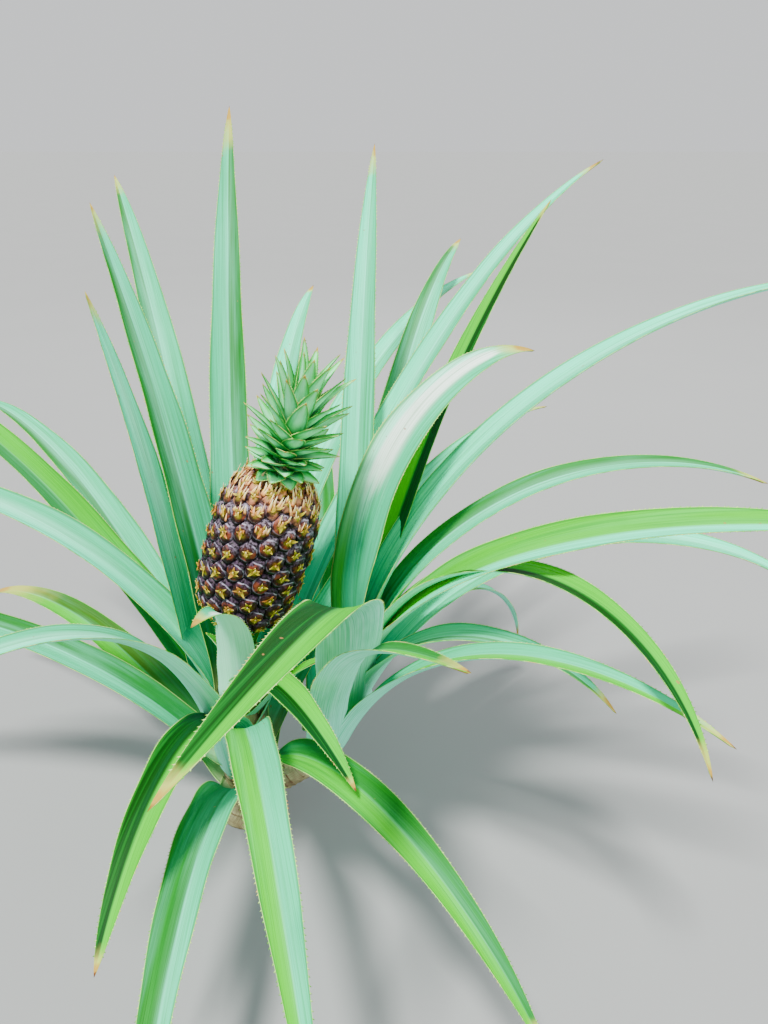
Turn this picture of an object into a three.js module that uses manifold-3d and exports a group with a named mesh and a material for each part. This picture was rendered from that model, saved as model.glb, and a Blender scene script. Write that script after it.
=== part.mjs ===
// A pineapple plant in fruit, with a large side shoot growing from the foot of its main stem.
// Millimetres, +Z up, +X to the right and +Y away from the usual viewpoint.
// The origin is the middle of the flat cut under the main stem, at ground level.
import * as THREE from "three";
import { mergeVertices } from "three/addons/utils/BufferGeometryUtils.js";
import Module from "manifold-3d";

const wasm = await Module();
wasm.setup();

// Clearance between pieces that touch on the real plant.
const GAP = 0.3;
const CHORD_SPARE = 0.05;
const GOLDEN_ANGLE = 137.5;

// Main stem: a short club, hidden by the leaves that clasp it.
const STEM_HEIGHT = 205;
const STEM_RADIUS = 27;
const STEM_FOOT_RADIUS = 38;
const STEM_SIDES = 16;

// Fruit: its stalk leans a little to the right, the fruit further, and its crown turns up again.
const STALK_LEAN = 6;
const STALK_LENGTH = 84;
const STALK_RADIUS = 13;
const STALK_BRACTS = 8;
const FRUIT_LEAN = 19;
const CROWN_LEAN = 18;
const FRUIT_LEAN_AZIMUTH = -8;
const FRUIT_HEIGHT = 190;
const FRUIT_RADIUS = 50;
const EYE_COUNT = 190;
const EYE_RELIEF = 5;
const CROWN_HEIGHT = 112;
const CROWN_RADIUS = 20;
const CROWN_LEAVES = 38;

// Side shoot: its stem leaves the main stem low down and turns up beside it.
const SHOOT_START = new THREE.Vector3(20, 2, 40);
const SHOOT_KNEE = new THREE.Vector3(118, 0, 70);
const SHOOT_TOP = new THREE.Vector3(136, -2, 250);
const SHOOT_RADIUS = 17;

// Leaves: how a blade is divided, how it starts, and its section.
const BLADE_STEPS = 11;
const SPINE_STEPS = 60;
const FOOT_TURN = 42;
const FOOT_RUN = 45;
const THICKNESS_SHARE = 1 / 98;
const SPLIT_DROOP = 86;
const SHORT_LEAF = 300;

const radians = THREE.MathUtils.degToRad;
const upright = new THREE.Vector3(0, 0, 1);
const mix = THREE.MathUtils.lerp;

// A closed solid from a geometry, with its faces turned outwards.
function solidOf(geometry) {
  const bare = geometry.clone();
  bare.deleteAttribute("normal");
  bare.deleteAttribute("uv");
  const merged = mergeVertices(bare, 1e-4);
  const mesh = { numProp: 3, vertProperties: merged.attributes.position.array };
  const faces = new Uint32Array(merged.index.array);
  const solid = new wasm.Manifold(new wasm.Mesh({ ...mesh, triVerts: faces }));
  if (solid.volume() > 0) return solid;
  for (let i = 0; i < faces.length; i += 3)
    [faces[i + 1], faces[i + 2]] = [faces[i + 2], faces[i + 1]];
  return new wasm.Manifold(new wasm.Mesh({ ...mesh, triVerts: faces }));
}

function geometryOf(solid) {
  const mesh = solid.getMesh();
  const positions = new Float32Array(mesh.numVert * 3);
  for (let i = 0; i < mesh.numVert; i++)
    positions.set(mesh.vertProperties.subarray(i * mesh.numProp, i * mesh.numProp + 3), i * 3);
  const geometry = new THREE.BufferGeometry();
  geometry.setAttribute("position", new THREE.BufferAttribute(positions, 3));
  geometry.setIndex(new THREE.BufferAttribute(mesh.triVerts, 1));
  geometry.computeVertexNormals();
  return geometry;
}

// The largest body of a cut solid: the scraps that a cut leaves are dropped.
function largest(solid) {
  const bodies = solid.decompose();
  return bodies.reduce((best, body) => (body.volume() > best.volume() ? body : best), bodies[0]);
}

// A solid made upright at the origin, leaned to an axis and stood on its foot.
function standOn(solid, axis, foot) {
  const turn = new THREE.Quaternion().setFromUnitVectors(upright, axis);
  const place = new THREE.Matrix4().compose(foot, turn, new THREE.Vector3(1, 1, 1));
  return solid.transform(place.toArray());
}

// A unit vector from its azimuth and its height above level, in degrees.
function direction(azimuth, rise) {
  const level = Math.cos(radians(rise));
  return new THREE.Vector3(
    level * Math.cos(radians(azimuth)),
    level * Math.sin(radians(azimuth)),
    Math.sin(radians(rise)),
  );
}

// A leaf's spine: a place and a frame at each step from base to tip. Low leaves first run outwards.
function spineOf(leaf) {
  const frames = [];
  const place = leaf.base.clone();
  for (let i = 0; i <= SPINE_STEPS; i++) {
    const t = (i + 0.5) / SPINE_STEPS;
    const azimuth = leaf.azimuth + leaf.swing * t ** 1.5;
    const foot = leaf.foot * Math.max(0, 1 - (t * leaf.length) / FOOT_RUN);
    const ahead = direction(azimuth, leaf.rise - leaf.droop * t ** leaf.bend - foot);
    const across = direction(azimuth + 90, 0).applyAxisAngle(ahead, radians(leaf.roll * (1 - (1 - t) ** 3)));
    const over = new THREE.Vector3().crossVectors(ahead, across);
    frames.push({ place: place.clone(), across, over });
    place.addScaledVector(ahead, leaf.length / SPINE_STEPS);
  }
  return frames;
}

// The spine's frame at any share of its length.
function frameAt(spine, t) {
  const index = Math.min(SPINE_STEPS - 1, Math.floor(t * SPINE_STEPS));
  const [a, b] = [spine[index], spine[index + 1]];
  const share = t * SPINE_STEPS - index;
  return {
    t,
    place: a.place.clone().lerp(b.place, share),
    across: a.across.clone().lerp(b.across, share).normalize(),
    over: a.over.clone().lerp(b.over, share).normalize(),
  };
}

// Half the blade's width: a broad clasping base, a waist, then a long taper to the tip.
function halfWidth(leaf, t) {
  const clasp = 0.35 * Math.exp(-((t / 0.07) ** 2));
  const blade = Math.min(1, 0.78 + 1.1 * t) * (1 - t ** 2.2) ** 0.8;
  return (leaf.width / 2) * (blade + clasp);
}

// How far the margins stand above the middle, as a share of the half width.
function trough(leaf, t) {
  return mix(0.55, 0.28, Math.min(1, t / 0.35));
}

// The blade between two shares of its length, as one closed crescent-sectioned solid.
function bladeGeometry(leaf, from, to, spare = 0) {
  const spine = spineOf(leaf);
  const thick = leaf.length * THICKNESS_SHARE;
  const inside = (t) => t > from + 0.015 && t < to - 0.015;
  const stations = Array.from({ length: BLADE_STEPS }, (_, i) => (i / BLADE_STEPS) ** 1.3);
  const rings = [from, ...stations.filter(inside), ...(to < 1 ? [to] : [])];
  const positions = [];
  for (const ring of rings) {
    const { t, place, across, over } = frameAt(spine, ring);
    const half = halfWidth(leaf, t) + spare;
    const lift = trough(leaf, t) * half;
    const body = thick * (1 - 0.6 * t) + 2 * spare;
    const section = [
      [-half, lift + spare / 2],
      [-0.45 * half, 0.22 * lift + spare],
      [0.45 * half, 0.22 * lift + spare],
      [half, lift + spare / 2],
      [0.42 * half, 0.22 * lift - body],
      [-0.42 * half, 0.22 * lift - body],
    ];
    for (const [x, y] of section) {
      const point = place.clone().addScaledVector(across, x).addScaledVector(over, y);
      positions.push(...point.toArray());
    }
  }
  const faces = [];
  const quad = (a, b, c, d) => faces.push(a, b, c, a, c, d);
  for (let ring = 1; ring < rings.length; ring++) {
    for (let side = 0; side < 6; side++) {
      const next = (side + 1) % 6;
      const low = 6 * (ring - 1);
      quad(low + side, low + next, low + 6 + next, low + 6 + side);
    }
  }
  const cap = (first, turned) => {
    const ends = [0, 5, 1, 1, 5, 4, 1, 4, 2, 2, 4, 3];
    const order = turned ? [...ends].reverse() : ends;
    faces.push(...order.map((corner) => first + corner));
  };
  cap(0, false);
  if (to < 1) {
    cap(6 * (rings.length - 1), true);
  } else {
    const tip = positions.length / 3;
    const last = spine[SPINE_STEPS];
    positions.push(...last.place.toArray());
    for (let side = 0; side < 6; side++)
      faces.push(tip - 6 + side, tip - 6 + ((side + 1) % 6), tip);
  }
  const geometry = new THREE.BufferGeometry();
  geometry.setAttribute("position", new THREE.Float32BufferAttribute(positions, 3));
  geometry.setIndex(faces);
  return geometry;
}

// The main stem's outline, from the flat cut up.
function stemSolid(grown = 0) {
  const outline = [
    [0, 0],
    [STEM_FOOT_RADIUS + grown, 0],
    [STEM_RADIUS + 3 + grown, 18],
    [STEM_RADIUS + grown, 60],
    [STEM_RADIUS + 2 + grown, 140],
    [STEM_RADIUS - 5 + grown, STEM_HEIGHT - 12],
    [STEM_RADIUS - 13 + grown, STEM_HEIGHT + grown],
    [0, STEM_HEIGHT + grown],
  ].map(([x, z]) => new THREE.Vector2(x, z));
  return solidOf(new THREE.LatheGeometry(outline, STEM_SIDES).rotateX(Math.PI / 2));
}

// The fruit's stalk, with small pointed bracts up its sides. It starts inside the club
// and is cut square to the fruit, just under it.
function stalkSolid(grown = 0) {
  const length = STALK_LENGTH + 30;
  const stalk = new THREE.CylinderGeometry(STALK_RADIUS + grown, STALK_RADIUS + 2 + grown, length, 12);
  stalk.rotateX(Math.PI / 2).translate(0, 0, length / 2 - 12);
  const solids = [solidOf(stalk)];
  for (let n = 0; n < STALK_BRACTS; n++) {
    const rank = n / (STALK_BRACTS - 1);
    const azimuth = n * GOLDEN_ANGLE - 90;
    const base = direction(azimuth, 0).multiplyScalar(STALK_RADIUS - 5).setZ(mix(2, 0.62 * STALK_LENGTH, rank));
    const [length, width] = [mix(74, 46, rank), mix(30, 22, rank)];
    const bract = { base, azimuth, rise: mix(56, 70, rank), droop: mix(34, 26, rank), bend: 1.4, length, width };
    solids.push(solidOf(scaleGeometry(bract, grown)));
  }
  const whole = standOn(wasm.Manifold.union(solids), stalkAxis, new THREE.Vector3(0, 0, STEM_HEIGHT));
  return whole.trimByPlane(fruitAxis.clone().negate().toArray(), GAP - fruitAxis.dot(fruitFoot));
}

// The side shoot's stem: a bent taper, whose foot is cut to the main stem.
const shootCurve = new THREE.QuadraticBezierCurve3(SHOOT_START, SHOOT_KNEE, SHOOT_TOP);

function shootSolid(grown = 0) {
  const sides = 12;
  const section = new THREE.Shape();
  section.absarc(0, 0, SHOOT_RADIUS + grown, 0, 2 * Math.PI);
  const tube = new THREE.ExtrudeGeometry(section, {
    steps: 10,
    curveSegments: sides / 2,
    extrudePath: shootCurve,
    bevelEnabled: false,
  });
  return solidOf(tube);
}

// Where the fruit's parts stand: up the leaning axis from the top of the main stem.
const stalkAxis = direction(FRUIT_LEAN_AZIMUTH, 90 - STALK_LEAN);
const fruitAxis = direction(FRUIT_LEAN_AZIMUTH, 90 - FRUIT_LEAN);
const crownAxis = direction(FRUIT_LEAN_AZIMUTH, 90 - CROWN_LEAN);
const fruitFoot = new THREE.Vector3(0, 0, STEM_HEIGHT).addScaledVector(stalkAxis, STALK_LENGTH);
const crownFoot = fruitFoot.clone().addScaledVector(fruitAxis, FRUIT_HEIGHT + GAP);

// The fruit's radius at a share of its height: a barrel, fullest below the middle.
function fruitRadius(share) {
  const swell = 1 - Math.abs(2 * share - 0.94) ** 3.2;
  return FRUIT_RADIUS * Math.max(0, swell) ** 0.42;
}

// The height, as a share, that each eye of the spiral stands at: eyes keep their shape as the fruit narrows.
function eyeHeights() {
  const marks = [];
  const steps = 400;
  const [low, high] = [0.014, 0.962];
  let climbed = 0;
  for (let i = 0; i <= steps; i++) {
    const share = mix(low, high, i / steps);
    const next = share + (high - low) / steps;
    const run = Math.hypot(fruitRadius(next) - fruitRadius(share), ((high - low) / steps) * FRUIT_HEIGHT);
    marks.push([climbed, share]);
    climbed += run / fruitRadius(share);
  }
  const total = marks[steps][0];
  return (n) => {
    const wanted = (n / EYE_COUNT) * total;
    let i = 0;
    while (i < steps - 1 && marks[i + 1][0] < wanted) i++;
    const [[a, from], [b, to]] = [marks[i], marks[i + 1]];
    return from + ((wanted - a) / (b - a)) * (to - from);
  };
}

// The fruit: eyes on a spiral lattice, each a low six-sided boss, closed by a cone at either end.
function fruitSolid() {
  const heightOf = eyeHeights();
  const onSkin = (n, relief) => {
    const share = heightOf(n);
    const turn = radians(n * GOLDEN_ANGLE);
    const radius = fruitRadius(share) + relief;
    return new THREE.Vector3(radius * Math.cos(turn), radius * Math.sin(turn), share * FRUIT_HEIGHT);
  };
  const corner = (members) => {
    const middle = new THREE.Vector3();
    for (const n of members) middle.addScaledVector(onSkin(n, 0), 1 / 3);
    return middle;
  };
  const first = (n) => corner([n, n + 8, n + 21]);
  const second = (n) => corner([n, n + 13, n + 21]);
  const positions = [];
  const known = new Map();
  const vertex = (key, point) => {
    if (!known.has(key)) {
      known.set(key, positions.length / 3);
      positions.push(...point.toArray());
    }
    return known.get(key);
  };
  const faces = [];
  const begun = 21;
  for (let n = begun; n < EYE_COUNT - begun; n++) {
    const around = [
      ["a", n], ["b", n], ["a", n - 8], ["b", n - 21], ["a", n - 21], ["b", n - 13],
    ];
    const middle = onSkin(n, EYE_RELIEF);
    const rim = around.map(([kind, m]) => vertex(kind + m, kind === "a" ? first(m) : second(m)));
    const top = vertex("top" + n, middle);
    for (let i = 0; i < 6; i++) faces.push(rim[i], rim[(i + 1) % 6], top);
  }
  closeEnds(faces, positions, vertex);
  const geometry = new THREE.BufferGeometry();
  geometry.setAttribute("position", new THREE.Float32BufferAttribute(positions, 3));
  geometry.setIndex(faces);
  const seats = new THREE.CylinderGeometry(2 * FRUIT_RADIUS, 2 * FRUIT_RADIUS, FRUIT_HEIGHT, 12);
  seats.rotateX(Math.PI / 2).translate(0, 0, FRUIT_HEIGHT / 2);
  return solidOf(geometry).intersect(solidOf(seats));
}

// Joins every open edge of the eyes to a point on the axis, just past the seat at that end.
function closeEnds(faces, positions, vertex) {
  const edges = new Set();
  for (let i = 0; i < faces.length; i += 3)
    for (let side = 0; side < 3; side++)
      edges.add(faces[i + side] + "," + faces[i + ((side + 1) % 3)]);
  const below = vertex("below", new THREE.Vector3(0, 0, -0.1 * FRUIT_HEIGHT));
  const above = vertex("above", new THREE.Vector3(0, 0, 1.06 * FRUIT_HEIGHT));
  for (const edge of edges) {
    const [from, to] = edge.split(",").map(Number);
    if (edges.has(to + "," + from)) continue;
    faces.push(to, from, positions[3 * from + 2] < FRUIT_HEIGHT / 2 ? below : above);
  }
}

// The crown: short leaves on a spiral round a core, nearly level below and opening like a vase above.
function crownSolid() {
  const core = new THREE.LatheGeometry(
    [
      [0, -8],
      [CROWN_RADIUS - 4, -8],
      [CROWN_RADIUS, 12],
      [0.7 * CROWN_RADIUS, 0.42 * CROWN_HEIGHT],
      [0, 0.62 * CROWN_HEIGHT],
    ].map(([x, z]) => new THREE.Vector2(x, z)),
    12,
  ).rotateX(Math.PI / 2);
  const solids = [solidOf(core)];
  for (let n = 0; n < CROWN_LEAVES; n++) {
    const rank = n / (CROWN_LEAVES - 1);
    const azimuth = n * GOLDEN_ANGLE;
    const foot = direction(azimuth, 0).multiplyScalar(mix(0.5, 0.12, rank) * CROWN_RADIUS);
    const leaf = {
      base: foot.setZ(mix(7, 0.54 * CROWN_HEIGHT, rank)),
      azimuth,
      rise: mix(26, 84, rank ** 1.3),
      droop: mix(8, 14, rank),
      bend: 1.4,
      length: mix(29, 66, Math.min(1, 1.35 * rank)),
      width: mix(26, 21, rank),
    };
    solids.push(solidOf(scaleGeometry(leaf)));
  }
  return wasm.Manifold.union(solids);
}

// A short leaf of the crown or the stalk: a three-sided blade, broad at its foot.
function scaleGeometry(leaf, spare = 0) {
  const steps = 3;
  const positions = [];
  const place = leaf.base.clone();
  const thick = 2.6 + 3 * spare;
  for (let i = 0; i <= steps; i++) {
    const t = i / steps;
    const ahead = direction(leaf.azimuth, leaf.rise - leaf.droop * t ** leaf.bend);
    const across = direction(leaf.azimuth + 90, 0);
    const over = new THREE.Vector3().crossVectors(ahead, across);
    const half = (leaf.width / 2) * (1 - t ** 1.7) + 2 * spare;
    const top = 0.3 * half + spare;
    const section = i < steps ? [[-half, top], [half, top], [0, -thick * (1 - 0.5 * t)]] : [[0, 0]];
    for (const [x, y] of section)
      positions.push(...place.clone().addScaledVector(across, x).addScaledVector(over, y).toArray());
    place.addScaledVector(ahead, leaf.length / steps);
  }
  const faces = [0, 2, 1];
  for (let ring = 0; ring < steps - 1; ring++)
    for (let side = 0; side < 3; side++) {
      const [a, b] = [3 * ring + side, 3 * ring + ((side + 1) % 3)];
      faces.push(a, b, b + 3, a, b + 3, a + 3);
    }
  const last = 3 * (steps - 1);
  for (let side = 0; side < 3; side++) faces.push(last + side, last + ((side + 1) % 3), last + 3);
  const geometry = new THREE.BufferGeometry();
  geometry.setAttribute("position", new THREE.Float32BufferAttribute(positions, 3));
  geometry.setIndex(faces);
  return geometry;
}

// One leaf's shape from its rank, 0 for the lowest and 1 for the innermost, and what is its own.
function leafOf(place, rank, own) {
  const leaf = {
    azimuth: 0,
    rise: mix(42, 80, rank),
    droop: mix(72, 20, rank),
    bend: 1.3,
    swing: 0,
    roll: 0,
    foot: FOOT_TURN * (1 - rank),
    length: 720,
    width: 50,
    ...own,
  };
  leaf.base = place(leaf.azimuth, rank);
  return leaf;
}

// Where a leaf starts: inside the stem, on the leaf's own side of it.
function onMainStem(azimuth, rank) {
  return direction(azimuth, 0).multiplyScalar(0.55 * STEM_RADIUS).setZ(mix(38, 182, rank));
}

function onShoot(azimuth, rank) {
  const middle = shootCurve.getPoint(mix(0.44, 0.97, rank));
  return middle.add(direction(azimuth, 0).multiplyScalar(0.5 * SHOOT_RADIUS));
}

// Leaves of the main rosette, lowest first.
const MAIN_LEAVES = [
  { azimuth: 148, rise: 50, droop: 88, length: 560 },
  { azimuth: 270, rise: 66, droop: 112, bend: 1, length: 520 },
  { azimuth: 72, rise: 52, droop: 84, length: 620 },
  { azimuth: 238, rise: 86, droop: 99, bend: 1.55, length: 541, width: 59 },
  { azimuth: 308, rise: 68, droop: 112, bend: 1, length: 540 },
  { azimuth: 112, rise: 56, droop: 80, length: 660 },
  { azimuth: 178, rise: 54, droop: 84, length: 640 },
  { azimuth: 46, rise: 56, droop: 66, length: 700 },
  { azimuth: 286, rise: 80, droop: 124, bend: 0.9, length: 560 },
  { azimuth: 138, rise: 60, droop: 72, length: 700 },
  { azimuth: 85, rise: 62, droop: 58, length: 760 },
  { azimuth: 180, rise: 89, droop: 94, bend: 0.9, swing: 9, foot: 3, length: 660, width: 62 },
  { azimuth: 262, rise: 84, droop: 124, bend: 0.8, length: 400 },
  { azimuth: 160, rise: 66, droop: 56, length: 700 },
  { azimuth: 114, rise: 71, droop: 48, length: 780 },
  { azimuth: 31, rise: 64, droop: 43, bend: 2.2, swing: 6, length: 795 },
  { azimuth: 163, rise: 86, droop: 15, bend: 2.3, swing: -11, foot: 110, length: 518, width: 46 },
  { azimuth: 338, rise: 62, droop: 30, length: 170, width: 34 },
  { azimuth: 59, rise: 71, droop: 68, bend: 1.05, swing: -6, length: 735 },
  { azimuth: 92, rise: 77, droop: 28, length: 700 },
  { azimuth: 134, rise: 83, droop: 24, length: 560 },
  { azimuth: 306, rise: 84, droop: 122, bend: 0.8, length: 290, width: 44 },
  { azimuth: 287, rise: 90, droop: 100, bend: 2.9, swing: -42, roll: -12, foot: 78, length: 238, width: 48 },
];

// Leaves of the side shoot, lowest first.
const SHOOT_LEAVES = [
  { azimuth: -38, rise: 69, droop: 91, bend: 1.5, length: 550, width: 44 },
  { azimuth: -82, rise: 68, droop: 47, bend: 1.4, swing: 24, length: 550, width: 48 },
  { azimuth: 94, rise: 56, droop: 84, length: 600 },
  { azimuth: 48, rise: 56, droop: 139, bend: 1.25, swing: -15, length: 460, width: 36 },
  { azimuth: -29, rise: 80, droop: 125, bend: 1.4, length: 420, width: 44 },
  { azimuth: -21, rise: 86, droop: 141, bend: 1.35, swing: -49, length: 606, width: 42 },
  { azimuth: -3, rise: 70, droop: 111, bend: 1.35, swing: -12, roll: 8, length: 615, width: 49 },
  { azimuth: 284, rise: 69, droop: 84, bend: 1.6, swing: -45, roll: 4, length: 614, width: 67 },
  { azimuth: -35, rise: 88, droop: 86, bend: 0.7, swing: 14, roll: 22, length: 625, width: 56 },
  { azimuth: 72, rise: 68, droop: 60, length: 700 },
  { azimuth: 3, rise: 83, droop: 105, bend: 1.05, swing: -5, roll: 5, length: 566, width: 50 },
  { azimuth: 15, rise: 94, droop: 94, bend: 0.7, swing: -4, roll: -3, length: 758, width: 54 },
  { azimuth: 84, rise: 78, droop: 30, length: 600, width: 42 },
  { azimuth: 40, rise: 74, droop: 30, bend: 1.2, length: 550, width: 36 },
  { azimuth: 24, rise: 90, droop: 106, bend: 1.9, swing: 11, roll: 17, foot: -10, length: 450, width: 70 },
];

const leafGreen = new THREE.MeshStandardMaterial({ color: 0x86c79a, roughness: 0.55 });
const stemGreen = new THREE.MeshStandardMaterial({ color: 0x9aa873, roughness: 0.8 });
const fruitSkin = new THREE.MeshStandardMaterial({ color: 0x6b4a35, roughness: 0.6 });
const crownGreen = new THREE.MeshStandardMaterial({ color: 0x74c488, roughness: 0.55 });

const plant = new THREE.Group();

function addNode(name, solid, material) {
  const mesh = new THREE.Mesh(geometryOf(solid), material);
  mesh.name = name;
  plant.add(mesh);
  return mesh;
}

addNode("main_stem", stemSolid(), stemGreen);
addNode("shoot_stem", shootSolid().subtract(stemSolid(GAP)), stemGreen);
addNode("fruit_stalk", stalkSolid().subtract(stemSolid(GAP)), stemGreen);
addNode("fruit", standOn(fruitSolid(), fruitAxis, fruitFoot), fruitSkin);
const crown = standOn(crownSolid(), crownAxis, crownFoot);
addNode("crown", crown.trimByPlane(fruitAxis.toArray(), fruitAxis.dot(crownFoot)), crownGreen);

// Grows one rosette from the innermost leaf out. Each leaf is cut clear of all that stands already,
// and one that bends round a wide gap is split at its bend.
function addRosette(name, plans, place, standing) {
  const parts = [];
  for (let i = plans.length - 1; i >= 0; i--) {
    const leaf = leafOf(place, i / (plans.length - 1), plans[i]);
    const label = `${name}_${String(i + 1).padStart(2, "0")}`;
    const bend = leaf.droop < SPLIT_DROOP || leaf.length < SHORT_LEAF ? 1 : 0.5;
    const pieces = [[label, 0, bend]];
    if (bend < 1) pieces.push([label + "_tip", bend + GAP / leaf.length, 1]);
    for (const [piece, from, to] of pieces) {
      const blade = solidOf(bladeGeometry(leaf, from, to));
      const clear = standing.reduce((left, grown) => left.subtract(grown), blade);
      parts.unshift([piece, largest(clear)]);
    }
    const grown = solidOf(bladeGeometry(leaf, 0, 1, GAP + CHORD_SPARE));
    standing.push(grown.add(solidOf(bladeGeometry(leaf, 0, 1))));
  }
  for (const [piece, solid] of parts) addNode(piece, solid, leafGreen);
}

const standing = [stemSolid(GAP), shootSolid(GAP), stalkSolid(GAP), stalkSolid()];
addRosette("shoot_leaf", SHOOT_LEAVES, onShoot, standing);
addRosette("leaf", MAIN_LEAVES, onMainStem, standing);

export default plant;
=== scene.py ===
import math
import random

import bmesh
import bpy
import numpy as np
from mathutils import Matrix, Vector


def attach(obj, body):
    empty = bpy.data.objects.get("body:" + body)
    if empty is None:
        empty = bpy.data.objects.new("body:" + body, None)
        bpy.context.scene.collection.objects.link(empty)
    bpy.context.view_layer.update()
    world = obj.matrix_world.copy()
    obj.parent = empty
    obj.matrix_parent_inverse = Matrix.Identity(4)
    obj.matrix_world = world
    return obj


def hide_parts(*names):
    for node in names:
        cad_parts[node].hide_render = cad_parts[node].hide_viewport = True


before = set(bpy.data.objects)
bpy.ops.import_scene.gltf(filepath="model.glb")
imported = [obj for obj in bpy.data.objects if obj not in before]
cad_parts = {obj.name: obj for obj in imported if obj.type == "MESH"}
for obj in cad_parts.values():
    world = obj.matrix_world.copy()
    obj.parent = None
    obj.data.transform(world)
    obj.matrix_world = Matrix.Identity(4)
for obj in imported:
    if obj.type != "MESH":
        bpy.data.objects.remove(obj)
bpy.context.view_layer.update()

# Shapes are worked out in millimetres by the rules of the solids, and made in metres.
MILLI = 0.001
GOLDEN_ANGLE = 137.5
SEED = 31

# Stems, as the solids have them.
STEM_HEIGHT, STEM_RADIUS, STEM_FOOT_RADIUS = 205, 27, 38
LOWEST_LEAF, HIGHEST_LEAF = 38, 182
SHOOT_CURVE = np.array([[20, 2, 40], [118, 0, 70], [136, -2, 250]], float)
SHOOT_RADIUS, SHOOT_LEAVES_START, SHOOT_LEAVES_END = 17, 0.44, 0.97
STALK_LEAN, STALK_LENGTH, STALK_RADIUS, STALK_BRACTS = 6, 84, 13, 8

# Fruit and crown, as the solids have them.
FRUIT_LEAN, CROWN_LEAN, FRUIT_LEAN_AZIMUTH = 19, 18, -8
FRUIT_HEIGHT, FRUIT_RADIUS, EYE_COUNT = 190, 50, 190
FRUIT_BELLY, FRUIT_SQUARE, FRUIT_ROUND, LOWEST_EYE, HIGHEST_EYE = 0.94, 3.2, 0.42, 0.014, 0.962
CROWN_HEIGHT, CROWN_RADIUS, CROWN_GAP = 112, 20, 0.3

# The leaves' rule, as the solids have it.
SPINE_STEPS, FOOT_TURN, FOOT_RUN, SPLIT_DROOP, SHORT_LEAF = 60, 42, 45, 86, 300
LEAF_WIDTH, LEAF_BEND, LEAF_THICKEST, LENGTH_TO_THICKNESS = 50, 1.3, 5.2, 98

# How finely blades and stems are drawn here: rings along them, and points round the stems.
LEAF_RINGS, SMALL_LEAF_RINGS, SMALL_LEAF_COLUMNS = 96, 22, 8
MAIN_STEM_RINGS, SHOOT_RINGS, STALK_RINGS = 110, 90, 60
MAIN_STEM_SIDES, SHOOT_SIDES, STALK_SIDES = 96, 72, 60

# A blade's cut: how far its columns crowd to the margins, the floor of its channel, and its furrow.
CROWDING, CHANNEL_FLOOR, CHANNEL_FLAT, FURROW_DEPTH, FURROW_WIDTH = 0.55, 0.22, 0.25, 0.10, 0.09

# Margin teeth: size and pitch on leaves, on the crown and on the stalk, and the share of a margin with teeth.
LEAF_TOOTH, LEAF_TOOTH_PITCH = 1.7, 4.5
CROWN_TOOTH, CROWN_TOOTH_PITCH = 1.3, 3.0
STALK_TOOTH, STALK_TOOTH_PITCH = 1.2, 3.4
TOOTHED_SHARE, TOOTH_SUNK = 0.97, 0.4

# Fruit details: an eye's half size and its cell, its scales and tufts, then the crown's leaves and caps.
EYE_SIZE, EYE_SIDE_POINTS, EYE_ROUGHNESS = 11, 5, 0.16
BRACT_LENGTH, BRACT_WIDTH, SCALE_THICKNESS, SCALE_CUP = 9.5, 6.5, 0.9, 0.25
TUFTS_PER_EYE, TUFT_START = 5, 0.12
CROWN_LEAVES, CROWN_SKIRT, CAP_SIDES, CAP_FADE = 58, 14, 24, 200

# Leaf scars round the stems, and how many radii the fibres' texture runs in one turn.
SCAR_PITCH, MAIN_STEM_SCARS, SHOOT_SCARS, STALK_SCARS, FIBRE_TURN = 8.5, 1.4, 1.3, 0.5, 6.3

# The camera at the photo's place, in metres and degrees, and the studio's light.
CAMERA_PLACE, CAMERA_TILT, LENS_LENGTH, SENSOR_WIDTH = (0.169, -0.690, 0.765), 26.8, 26.7, 36
FILL_PLACE, FILL_AIM, FILL_POWER = (2.2, -1.4, 1.6), (0.1, 0, 0.3), 36
BACK_PLACE, BACK_AIM, BACK_POWER = (0.4, 2.4, 2.0), (0.05, 0, 0.3), 22
LAMP_SIZE = 2.0
SUN_DIRECTION, SUN_POWER, SUN_ANGLE, SUN_COLOUR = (0.22, 0.32, -1.0), 8.2, 9, (1.0, 0.98, 0.92)
SKY_COLOUR, SKY_POWER = (0.955, 0.975, 0.99), 0.93
FLOOR_SIZE, FLOOR_DARK, FLOOR_LIGHT = 60, (0.238, 0.246, 0.252), (0.250, 0.258, 0.264)

chance = random.Random(SEED)


def mix(a, b, share):
    return a + (b - a) * share


def smooth(low, high, value):
    """0 below low, 1 above high, and a smooth turn between."""
    share = np.clip((value - low) / (high - low), 0, 1)
    return share * share * (3 - 2 * share)


def direction(azimuth, rise):
    """Unit vectors from azimuth and height above level, in degrees."""
    a, r = np.radians(azimuth), np.radians(rise)
    return np.stack([np.cos(r) * np.cos(a), np.cos(r) * np.sin(a), np.sin(r) + 0 * a], -1)


def unit(v):
    return v / np.maximum(1e-9, np.linalg.norm(v, axis=-1, keepdims=True))


def turned_to(axis):
    """The turn that leans an upright piece to an axis, as a matrix."""
    return np.array(Vector((0, 0, 1)).rotation_difference(Vector(axis)).to_matrix())


def length_along(path):
    """The length of a path up to each of its points."""
    return np.concatenate([[0], np.cumsum(np.linalg.norm(np.diff(path, axis=0), axis=1))])


def read_off(places, known, values):
    """Rows of values, known at some places along a line, at other places along it."""
    return np.stack([np.interp(places, known, column) for column in values.T], -1)


def wall(rings, around):
    """Faces between closed rings of points, ring after ring."""
    first, k = np.meshgrid(np.arange(rings - 1) * around, np.arange(around), indexing="ij")
    n = (k + 1) % around
    return np.stack([first + k, first + around + k, first + around + n, first + n], -1).reshape(-1, 4)


def fan(first, around, apex):
    """Faces from a closed ring of points to one point more."""
    k = np.arange(around)
    return np.stack([first + k, first + (k + 1) % around, np.full(around, apex)], -1)


def flipped(faces):
    """The same faces for the other side, each from the same first corner."""
    return np.roll(faces[:, ::-1], 1, axis=1)


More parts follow.
